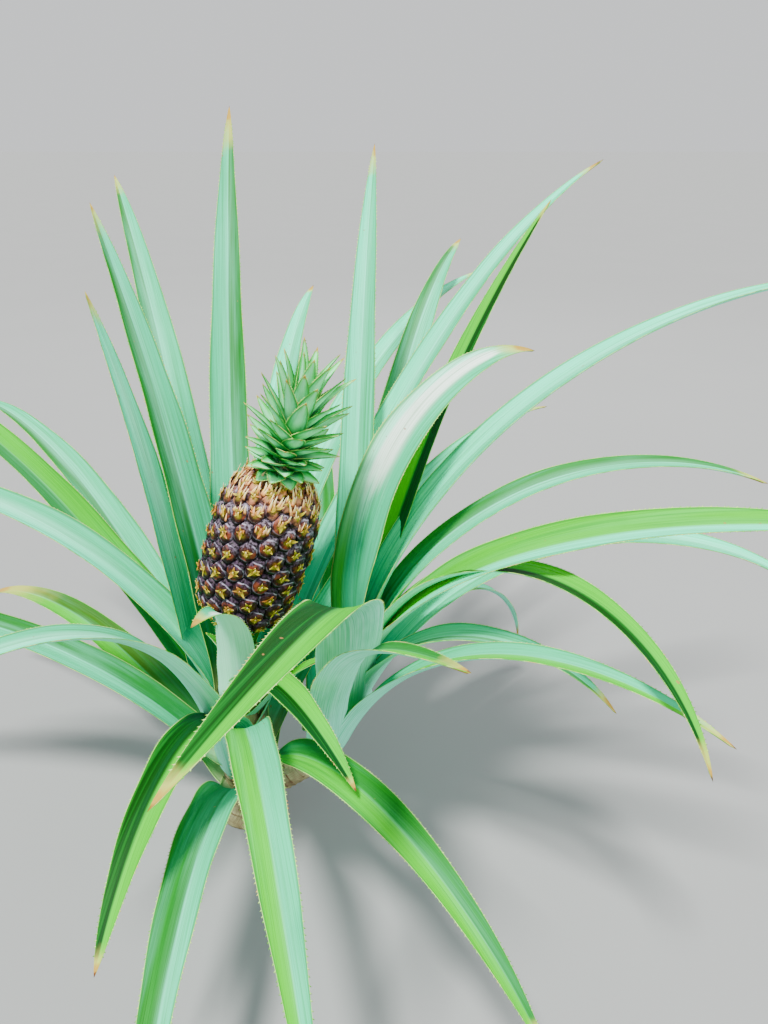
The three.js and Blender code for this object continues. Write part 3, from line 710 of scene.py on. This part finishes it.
# LOW_SHEEN and EYE_SHEEN are painted highlight colours; EYE_ARC is a painted highlight on an eye's upper
# edge.
EYE_OLIVE, LOW_SHEEN, EYE_SHEEN = (0.20, 0.19, 0.004), (0.10, 0.055, 0.11), (0.40, 0.32, 0.44)
EYE_ARC, EYE_FLUSH, EYE_ROSY = (0.36, 0.32, 0.44), (0.30, 0.06, 0.02), (0.70, 0.30, 0.16)
BRACT_COLOURS = [
    (0.08, 0.03, 0.004),
    (0.20, 0.13, 0.004),
    (0.38, 0.33, 0.004),
    (0.70, 0.48, 0.05),
    (0.95, 0.86, 0.46),
]
TUFT_COLOURS = [
    (0.30, 0.09, 0.03),
    (0.78, 0.34, 0.10),
    (1.0, 0.66, 0.22),
    (1.0, 0.90, 0.50),
    (1.0, 1.0, 0.82),
]
BRACT_BLUSH, TUFT_BLUSH, BRACT_BROWN = (0.62, 0.12, 0.03), (0.95, 0.42, 0.26), (0.20, 0.09, 0.03)


def rind_paint():
    """An eye's colours from its middle to its groove, with olive feet, a painted sheen of highlight and rosy
    shoulders.
    """
    paint = Paint("rind", 0.16)
    x, y = paint.mark("Blade")
    tint, height = paint.mark("Grain")
    spot = paint.solid_place()
    grain = paint.noise(spot, 420.0, 4)
    patch = paint.noise(spot, 130.0, 3)
    flat = paint.node("CombineXYZ", i0=x, i1=y).outputs[0]
    reach = paint.node("VectorMath", {"operation": "LENGTH"}, i0=flat).outputs["Value"]
    r = paint.swayed(reach, patch, 0.35)
    colour = paint.ramp(r, *zip((0.00, 0.16, 0.36, 0.60, 0.84, 0.95), EYE_COLOURS))
    olive = paint.times(paint.band(y, 0.15, -0.35), paint.band(r, 0.62, 0.30))
    olive = paint.times(olive, paint.band(tint, 0.1, 0.9, 0.35, 0.9))
    colour = paint.colour(olive, colour, EYE_OLIVE)
    # A painted highlight on the upper part of each boss, partly the rind's grey bloom, paler higher up the
    # fruit.
    sheen = paint.times(paint.band(y, -0.1, 0.45), paint.band(r, 0.34, 0.60))
    sheen = paint.times(sheen, paint.band(grain, 0.40, 0.62, 0.03, 0.5))
    sheen_colour = paint.over(LOW_SHEEN, EYE_SHEEN, height, 0.45, 0.80)
    colour = paint.colour(sheen, colour, sheen_colour)
    # A bright arc between the boss and its groove, the eye's papery edge, made brightest on top by painted
    # highlight.
    arc = paint.times(paint.band(r, 0.76, 0.83), paint.band(r, 0.94, 0.88))
    arc = paint.times(arc, paint.band(patch, 0.40, 0.58, 0.15, 1.0))
    arc = paint.times(arc, paint.band(y, -0.7, 0.3, 0.25, 1.0))
    colour = paint.colour(arc, colour, EYE_ARC)
    flush = paint.times(paint.band(patch, 0.50, 0.66), paint.band(r, 0.25, 0.5))
    flush = paint.times(flush, paint.band(r, 0.9, 0.7, 0, 0.6))
    colour = paint.colour(flush, colour, EYE_FLUSH)
    rosy = paint.times(paint.band(height, 0.78, 0.95, 0, 0.6), paint.band(patch, 0.4, 0.6))
    colour = paint.colour(rosy, colour, EYE_ROSY)
    rough = paint.band(grain, 0.3, 0.7, 0.3, 0.6)
    return paint.finish(colour, rough, paint.math("ADD", grain, patch), 0.0012)


def sprout(bag, root, ahead, end, right, length, width, rings=5):
    """A small pointed scale that turns from one direction to another along its length."""
    t = np.linspace(0, 1, rings + 1)
    heading = unit(mix(ahead, end, (t ** 1.3)[:, None]))
    place = root + np.concatenate([[[0, 0, 0]], np.cumsum(heading[:-1] * length / rings, axis=0)])
    across = unit(right - heading * (heading @ right)[:, None])
    over = np.cross(heading, across)
    half = width / 2 * (1 - t ** 1.5)
    thick = SCALE_THICKNESS * (1 - 0.7 * t)
    blade(bag, t, place, across, over, half, half * SCALE_CUP, thick, None, columns=4, edge=0.3, power=1)


def bracts():
    """For each eye a bract that hugs its lower half and the star of the old flower, and tufts at the top."""
    bag, tufts = Bag(), Bag()
    for n in range(4, EYE_COUNT):
        turn, share = n * GOLDEN_ANGLE, float(height_of(n))
        high = float(smooth(0.70, 0.90, share))
        small = 1 - 0.35 * float(smooth(0.86, 0.96, share))
        skew = chance.uniform(-0.25, 0.25)
        relief = EYE_RELIEF.max() if FARTHEST_STEP <= n < EYE_COUNT - FARTHEST_STEP else 0.8
        place = on_skin(np.array(turn), np.array(share), np.array(relief))
        spot, out, right, up = (np.ravel(v) for v in place)
        root = spot - up * 7.0 * small - out * 1.4
        lean = unit(up + out * 0.40 + right * skew * 0.3)
        end = unit(up * 1.0 + out * chance.uniform(0.0, 0.5) + right * skew)
        length = BRACT_LENGTH * small * chance.uniform(0.9, 1.25)
        sprout(bag, root, lean, end, right, length, BRACT_WIDTH * small, rings=7)
        points = chance.choice((3, 4, 4, 5, 6))
        first = chance.uniform(0, 2 * math.pi)
        for k in range(points):
            angle = first + k * 2 * math.pi / points + chance.uniform(-0.5, 0.5)
            spread = right * math.cos(angle) + up * (math.sin(angle) + 0.15)
            side = unit(np.cross(out, spread))
            length = mix(7.2, 7.6, high) * chance.uniform(0.5, 1.3) * small
            start = spot + spread * 0.4 + out * 0.1
            finish = unit(spread + out * chance.uniform(-0.2, 0.35) + up * high)
            sprout(bag, start, unit(spread + out * 0.32), finish, side, length, chance.uniform(2.2, 5.0))
        for _ in range(TUFTS_PER_EYE if high > TUFT_START else 0):
            offset = right * chance.uniform(-7, 7) * small + up * chance.uniform(-6, 3)
            sway = unit(up + out * chance.uniform(0.12, 0.6) + right * chance.uniform(-0.35, 0.35))
            length = chance.uniform(9, 17) * mix(0.6, 1, high) * small
            start, finish = spot + offset - out * 1.0, unit(sway + up * 0.3)
            sprout(tufts, start, sway, finish, right, length, chance.uniform(2.2, 4.2))
    for part, name, label, steps, blush in (
        (bag, "fruit_bracts", "bract", BRACT_COLOURS, BRACT_BLUSH),
        (tufts, "fruit_tufts", "tuft", TUFT_COLOURS, TUFT_BLUSH),
    ):
        part.places = [place_fruit(places) for places in part.places]
        paints = [bract_paint(label + side, steps, blush) for side in ("", "_back", "_edge")]
        part.piece(name, paints, "fruit", ["fruit"])


def bract_paint(name, steps, blush):
    """Dry scales: one colour after another from foot to tip, with a blush in patches."""
    paint = Paint(name, 0.35)
    along = paint.mark("Blade")[1]
    spot = paint.solid_place()
    patch = paint.noise(spot, 70.0, 2)
    grain = paint.noise(spot, 500.0, 3)
    colour = paint.ramp(along, *zip((0.0, 0.25, 0.50, 0.78, 1.0), steps))
    red = paint.times(paint.band(patch, 0.52, 0.66), paint.band(along, 0.15, 0.5))
    colour = paint.colour(paint.times(red, 0.8), colour, blush)
    colour = paint.over(colour, BRACT_BROWN, grain, 0.50, 0.75, 0.5)
    return paint.finish(colour, paint.band(grain, 0.3, 0.7, 0.5, 0.75), grain, 0.0006)


def limb(path, radius, around, scars):
    """A stem along a path, with the scars of fallen leaves round it and fibres along it."""
    path = np.asarray(path, float)
    ahead = unit(np.gradient(path, axis=0))
    side = unit(np.cross(ahead, [0.0, 1.0, 0.001]))
    other = np.cross(ahead, side)
    run = length_along(path)
    share = np.arange(around) / around
    turn = share * 2 * math.pi
    scar = ((run[:, None] / SCAR_PITCH + share[None] + 0.12 * np.sin(3 * turn)[None]) % 1) ** 4
    fibres = (9, 14, 23, 31, 40)
    fibre = sum(np.sin(k * turn + chance.uniform(0, 6)) * chance.uniform(0.05, 0.16) for k in fibres)
    rough = np.array([chance.gauss(0, 0.10) for _ in range(len(path) * around)]).reshape(len(path), around)
    reach = radius[:, None] - 1.4 + scars * scar + fibre[None] + rough
    circle = side[:, None] * np.cos(turn)[None, :, None] + other[:, None] * np.sin(turn)[None, :, None]
    places = (path[:, None] + circle * reach[..., None]).reshape(-1, 3)
    places = np.concatenate([places, path[:1], path[-1:]])
    count = len(path)
    marks = np.zeros((len(places), 4))
    marks[:-2, 0] = np.tile(share, count)
    marks[:-2, 1] = scar.ravel()
    marks[:-2, 2] = np.tile(share, count) * radius.repeat(around) * FIBRE_TURN * MILLI
    marks[:-2, 3] = run.repeat(around) * MILLI
    low, high = flipped(fan(0, around, count * around)), fan((count - 1) * around, around, count * around + 1)
    bag = Bag()
    bag.add(places, [flipped(wall(count, around)), np.concatenate([low, high])], marks, [0, 0])
    return bag


# The stems' colours.
STEM_COLOURS = [(0.20, 0.15, 0.07), (0.42, 0.40, 0.20), (0.56, 0.56, 0.34)]
SCAR_BROWN, FIBRE_BROWN = (0.16, 0.09, 0.04), (0.12, 0.08, 0.04)


def stem_paint():
    """Stem skin: pale green-brown between darker, dry leaf scars, with fibres along it."""
    paint = Paint("stem", 0.25)
    scar = paint.mark("Blade")[1]
    grain = paint.mark("Grain")
    fibre = paint.streaks(grain, 900, 40, 4)
    patch = paint.noise(paint.solid_place(), 45.0, 4)
    colour = paint.ramp(patch, *zip((0.32, 0.5, 0.68), STEM_COLOURS))
    colour = paint.over(colour, SCAR_BROWN, scar, 0.25, 0.8)
    colour = paint.over(colour, FIBRE_BROWN, fibre, 0.45, 0.7, 0.6)
    rough = paint.band(patch, 0.3, 0.7, 0.65, 0.9)
    return paint.finish(colour, rough, paint.math("ADD", fibre, patch), 0.002)


def stems():
    """The main stem, the side shoot's stem and the fruit's stalk with its bracts."""
    skin_of_stem = stem_paint()
    profile = [
        (0, STEM_FOOT_RADIUS),
        (18, STEM_RADIUS + 3),
        (60, STEM_RADIUS),
        (140, STEM_RADIUS + 2),
        (STEM_HEIGHT - 12, STEM_RADIUS - 5),
        (STEM_HEIGHT, STEM_RADIUS - 13),
    ]
    z = np.linspace(0, STEM_HEIGHT, MAIN_STEM_RINGS)
    radius = np.interp(z, *zip(*profile))
    main = limb(np.stack([0 * z, 0 * z, z], -1), radius, MAIN_STEM_SIDES, MAIN_STEM_SCARS)
    main.piece("main_stem_skin", [skin_of_stem], "stem", ["main_stem"])
    path = shoot_point(np.linspace(0, 1, SHOOT_RINGS)[:, None])
    shoot = limb(path, np.full(SHOOT_RINGS, float(SHOOT_RADIUS)), SHOOT_SIDES, SHOOT_SCARS)
    shoot.piece("shoot_stem_skin", [skin_of_stem], "stem", ["shoot_stem"])
    # The stalk starts inside the stem and ends just inside the fruit.
    ends = [-12, STALK_LENGTH + 1]
    z = np.linspace(*ends, STALK_RINGS)
    radius = np.interp(z, ends, [STALK_RADIUS + 2, STALK_RADIUS])
    bag = limb(np.stack([0 * z, 0 * z, z], -1), radius, STALK_SIDES, STALK_SCARS)
    for n in range(STALK_BRACTS):
        rank = n / (STALK_BRACTS - 1)
        leaf = {"azimuth": n * GOLDEN_ANGLE - 90, "rise": 70, "droop": 24, "length": mix(58, 40, rank)}
        leaf |= {"bend": 1.4, "swing": 0, "roll": 0, "foot": 0}
        leaf["base"] = direction(leaf["azimuth"], 0) * (STALK_RADIUS - 5)
        leaf["base"] = leaf["base"] + [0, 0, mix(2, 0.62 * STALK_LENGTH, rank)]
        t, place, across, over = spine(leaf, SMALL_LEAF_RINGS)
        half = mix(30, 22, rank) / 2 * (0.85 + 0.3 * t) * (1 - t ** 1.7)
        thick, teeth = 2.4 * (1 - 0.6 * t), (STALK_TOOTH, STALK_TOOTH_PITCH)
        blade(bag, t, place, across, over, half, 0.45 * half, thick, teeth, SMALL_LEAF_COLUMNS)
    # The stalk's own two blocks keep the first material, and the bracts' kinds move up by one.
    bag.kinds = [kind if i < 2 else kind + 1 for i, kind in enumerate(bag.kinds)]
    bag.places = [places @ turned_to(stalk_axis).T + [0, 0, STEM_HEIGHT] for places in bag.places]
    paints = [skin_of_stem, skin("lime"), UNDERSIDE, MARGIN]
    bag.piece("fruit_stalk_skin", paints, "stem", ["fruit_stalk"])


stems()
rind()
bracts()


# The crown's colours: the two between which a side's stripes run, and what lies over them.
CROWN_TOP_COLOURS = (0.02, 0.72, 0.15), (0.24, 1.0, 0.46)
CROWN_BACK_COLOURS = (0.06, 0.60, 0.26), (0.22, 0.90, 0.54)
CROWN_LIME, CROWN_LINES, CROWN_BRIGHT = (0.12, 0.72, 0.01), (0.03, 0.42, 0.06), (0.34, 1.0, 0.60)
CROWN_EDGE, CROWN_FOOT_SHADE, CROWN_RIM = (0.006, 0.20, 0.008), (0.006, 0.20, 0.02), (0.40, 0.70, 0.16)
CROWN_MARGIN = (0.01, 0.22, 0.01)


def crown_leaf_paint(name, low, high):
    """A crown leaf's side: bright in its middle, dark at its margins, darkened at its foot by painted shade,
    limy and dry at its tip.
    """
    paint = Paint(name, LEAF_SPECULAR)
    across, along = paint.mark("Blade")
    grain = paint.mark("Grain")
    fine = paint.streaks(grain, 1100, 30, 3)
    broad = paint.streaks(grain, 90, 40, 2)
    colour = paint.over(low, high, broad, 0.35, 0.7)
    colour = paint.over(colour, CROWN_LIME, along, 0.50, 0.95, 0.6)
    colour = paint.over(colour, CROWN_LINES, fine, 0.45, 0.7, 0.35)
    edge = paint.from_middle(across)
    colour = paint.over(colour, CROWN_BRIGHT, edge, 0.64, 0.12, 0.72)
    colour = paint.over(colour, CROWN_EDGE, edge, 0.62, 0.92, 0.85)
    # Painted shade at the foot, where the leaves crowd.
    colour = paint.over(colour, CROWN_FOOT_SHADE, along, 0.50, 0.10, 0.8)
    colour = paint.over(colour, CROWN_RIM, edge, 0.95, 0.99, 0.6)
    worn = paint.math("ADD", along, paint.times(broad, 0.1))
    colour = paint.over(colour, TAN, worn, 0.94, 1.02)
    return paint.finish(colour, paint.band(fine, 0.3, 0.7, 0.42, 0.6), fine, 0.0005)


def crown():
    """The crown: the rule's spiral, with more and finer leaves. Low ones are short and curl outwards."""
    bag = Bag()
    for n in range(-CROWN_SKIRT, CROWN_LEAVES):
        rank = max(0, n / (CROWN_LEAVES - 1))
        low = min(0, n) / CROWN_SKIRT
        azimuth = n * GOLDEN_ANGLE + chance.uniform(-6, 6)
        base = direction(azimuth, 0) * mix(0.6, 0.12, rank) * CROWN_RADIUS
        leaf = {
            "azimuth": azimuth,
            "rise": mix(20, 84, rank ** 1.3) + 26 * low + chance.uniform(-5, 5),
            "droop": mix(-4, 14, rank) + chance.uniform(-8, 8),
            "bend": 1.7,
            "swing": chance.uniform(-10, 10),
            "roll": 0,
            "foot": 0,
            "length": (mix(30, 70, min(1, 1.35 * rank)) + 6 * low) * chance.uniform(0.92, 1.06),
            "base": base + [0, 0, mix(2, 0.54 * CROWN_HEIGHT, rank) + 5 * low],
        }
        t, place, across, over = spine(leaf, SMALL_LEAF_RINGS)
        half = mix(26, 22, rank) / 2 * (0.82 + 0.5 * t) * np.maximum(0, 1 - t ** 1.5)
        cup, thick = half * mix(0.42, 0.30, t), 2.4 * (1 - 0.7 * t)
        teeth = (CROWN_TOOTH, CROWN_TOOTH_PITCH)
        blade(bag, t, place, across, over, half, cup, thick, teeth, SMALL_LEAF_COLUMNS, edge=0.5)
    # A disc closes the crown below its leaves, and a small cap closes its heart.
    ring = fan(0, CAP_SIDES, CAP_SIDES)
    add_cap(bag, 16, -6, -6, flipped(ring))
    add_cap(bag, 3, 0.55 * CROWN_HEIGHT, 0.56 * CROWN_HEIGHT, ring)
    bag.places = [places @ turned_to(crown_axis).T + crown_foot for places in bag.places]
    paints = [
        crown_leaf_paint("crown_leaf", *CROWN_TOP_COLOURS),
        crown_leaf_paint("crown_back", *CROWN_BACK_COLOURS),
        margin_paint("crown_margin", CROWN_MARGIN),
    ]
    bag.piece("crown_leaves", paints, "crown", ["crown"])


def add_cap(bag, radius, rim, peak, faces):
    """A cap from a level circle round the axis to a point on it. Its texture climbs once in CAP_FADE."""
    turn = np.arange(CAP_SIDES) * 2 * math.pi / CAP_SIDES
    circle = np.stack([radius * np.cos(turn), radius * np.sin(turn), rim + 0 * turn], -1)
    places = np.concatenate([circle, [[0, 0, peak]]])
    marks = np.zeros((len(places), 4))
    marks[:, 0] = np.arctan2(places[:, 1], places[:, 0]) / (2 * math.pi) + 0.5
    marks[:, 1] = places[:, 2] / CAP_FADE
    marks[:, 2:] = marks[:, :2]
    bag.add(places, [faces], marks, [0])


crown()

# The floor, the light and the camera at the photo's place.
bpy.ops.mesh.primitive_plane_add(size=FLOOR_SIZE, location=(0, 0, 0))
floor = bpy.context.object
floor.name = "studio_floor"
floor_paint = Paint("studio_floor")
grain = floor_paint.noise(floor_paint.solid_place(), 3.0, 2)
tone = floor_paint.colour(grain, FLOOR_DARK, FLOOR_LIGHT)
floor.data.materials.append(floor_paint.finish(tone, 0.9, grain, 0.0002))


def area_light(name, place, aim, power):
    data = bpy.data.lights.new(name, "AREA")
    data.size, data.energy = LAMP_SIZE, power
    lamp = bpy.data.objects.new(name, data)
    bpy.context.scene.collection.objects.link(lamp)
    lamp.location = place
    lamp.rotation_euler = (Vector(aim) - Vector(place)).to_track_quat("-Z", "Y").to_euler()


area_light("fill", FILL_PLACE, FILL_AIM, FILL_POWER)
area_light("back", BACK_PLACE, BACK_AIM, BACK_POWER)
sun = bpy.data.lights.new("noon", "SUN")
sun.energy, sun.angle, sun.color = SUN_POWER, math.radians(SUN_ANGLE), SUN_COLOUR
noon = bpy.data.objects.new("noon", sun)
bpy.context.scene.collection.objects.link(noon)
noon.rotation_euler = Vector(SUN_DIRECTION).to_track_quat("-Z", "Y").to_euler()

world = bpy.data.worlds.new("studio")
world.use_nodes = True
sky = world.node_tree.nodes["Background"]
sky.inputs[0].default_value = (*SKY_COLOUR, 1)
sky.inputs[1].default_value = SKY_POWER
bpy.context.scene.world = world

lens = bpy.data.cameras.new("camera")
lens.lens, lens.sensor_width, lens.clip_start = LENS_LENGTH, SENSOR_WIDTH, 0.01
camera = bpy.data.objects.new("camera", lens)
bpy.context.scene.collection.objects.link(camera)
camera.location = CAMERA_PLACE
camera.rotation_euler = (math.radians(90 - CAMERA_TILT), 0, 0)
bpy.context.scene.camera = camera

bpy.context.view_layer.update()
